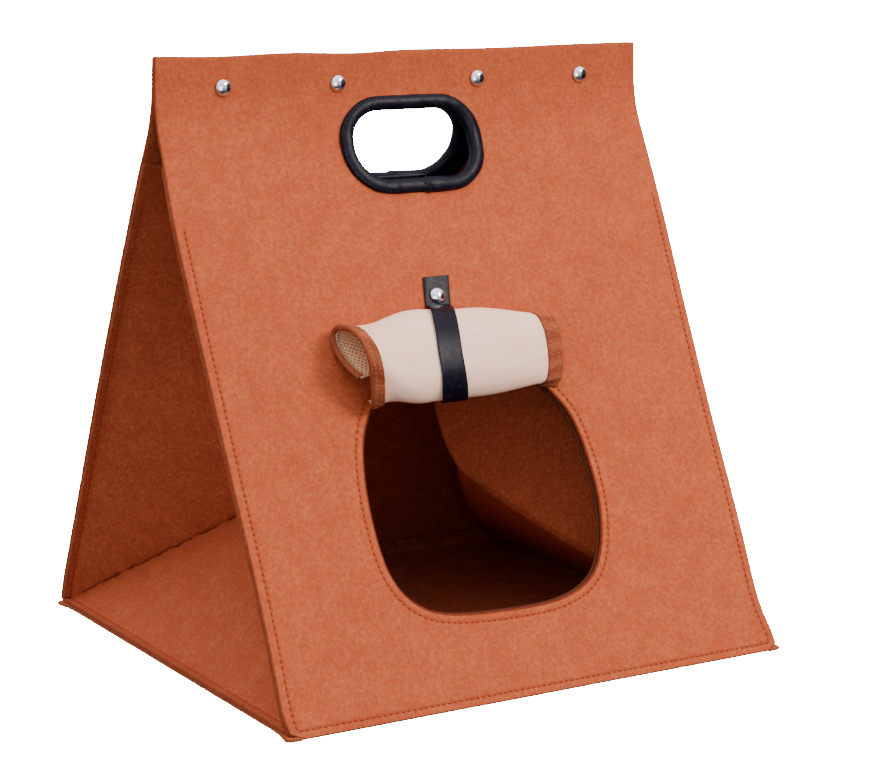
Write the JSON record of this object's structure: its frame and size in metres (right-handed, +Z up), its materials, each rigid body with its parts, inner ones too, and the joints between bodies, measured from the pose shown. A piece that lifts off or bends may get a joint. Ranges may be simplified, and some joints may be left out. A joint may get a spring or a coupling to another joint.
{
  "type": "felt cat cave",
  "caption": "Folded felt cave for a cat: leaning panels snapped together at the top, a handle hole, an arched door rolled up under a strap, and folded-in sides.",
  "frame": {"origin": "on the underside of the floor, in the middle of the cave's footprint", "axes": "+X to the right of someone who faces the door, +Y from the door to the back, +Z up"},
  "size_m": [0.4073, 0.3874, 0.4317],
  "materials": {
    "felt": "matte needled felt, rust orange",
    "binding_tape": "ribbed woven tape, rust brown",
    "air_mesh": "smooth cream knit outside, honeycomb mesh inside",
    "black_leather": "smooth, slightly glossy black",
    "nickel": "polished"
  },
  "bodies": {
    "root": {"front_panel": "felt", "back_panel": "felt", "floor_panel": "felt", "gusset_left": "felt", "gusset_right": "felt", "door_facing": "binding_tape", "door_binding_left": "binding_tape", "door_binding_right": "binding_tape", "door_flap": "air_mesh", "strap": "black_leather", "handle_trim_front": "black_leather", "handle_trim_back": "black_leather", "snap_strap": "nickel", "snap_top_1": "nickel", "snap_top_2": "nickel", "snap_top_3": "nickel", "snap_top_4": "nickel"}
  },
  "joints": []
}
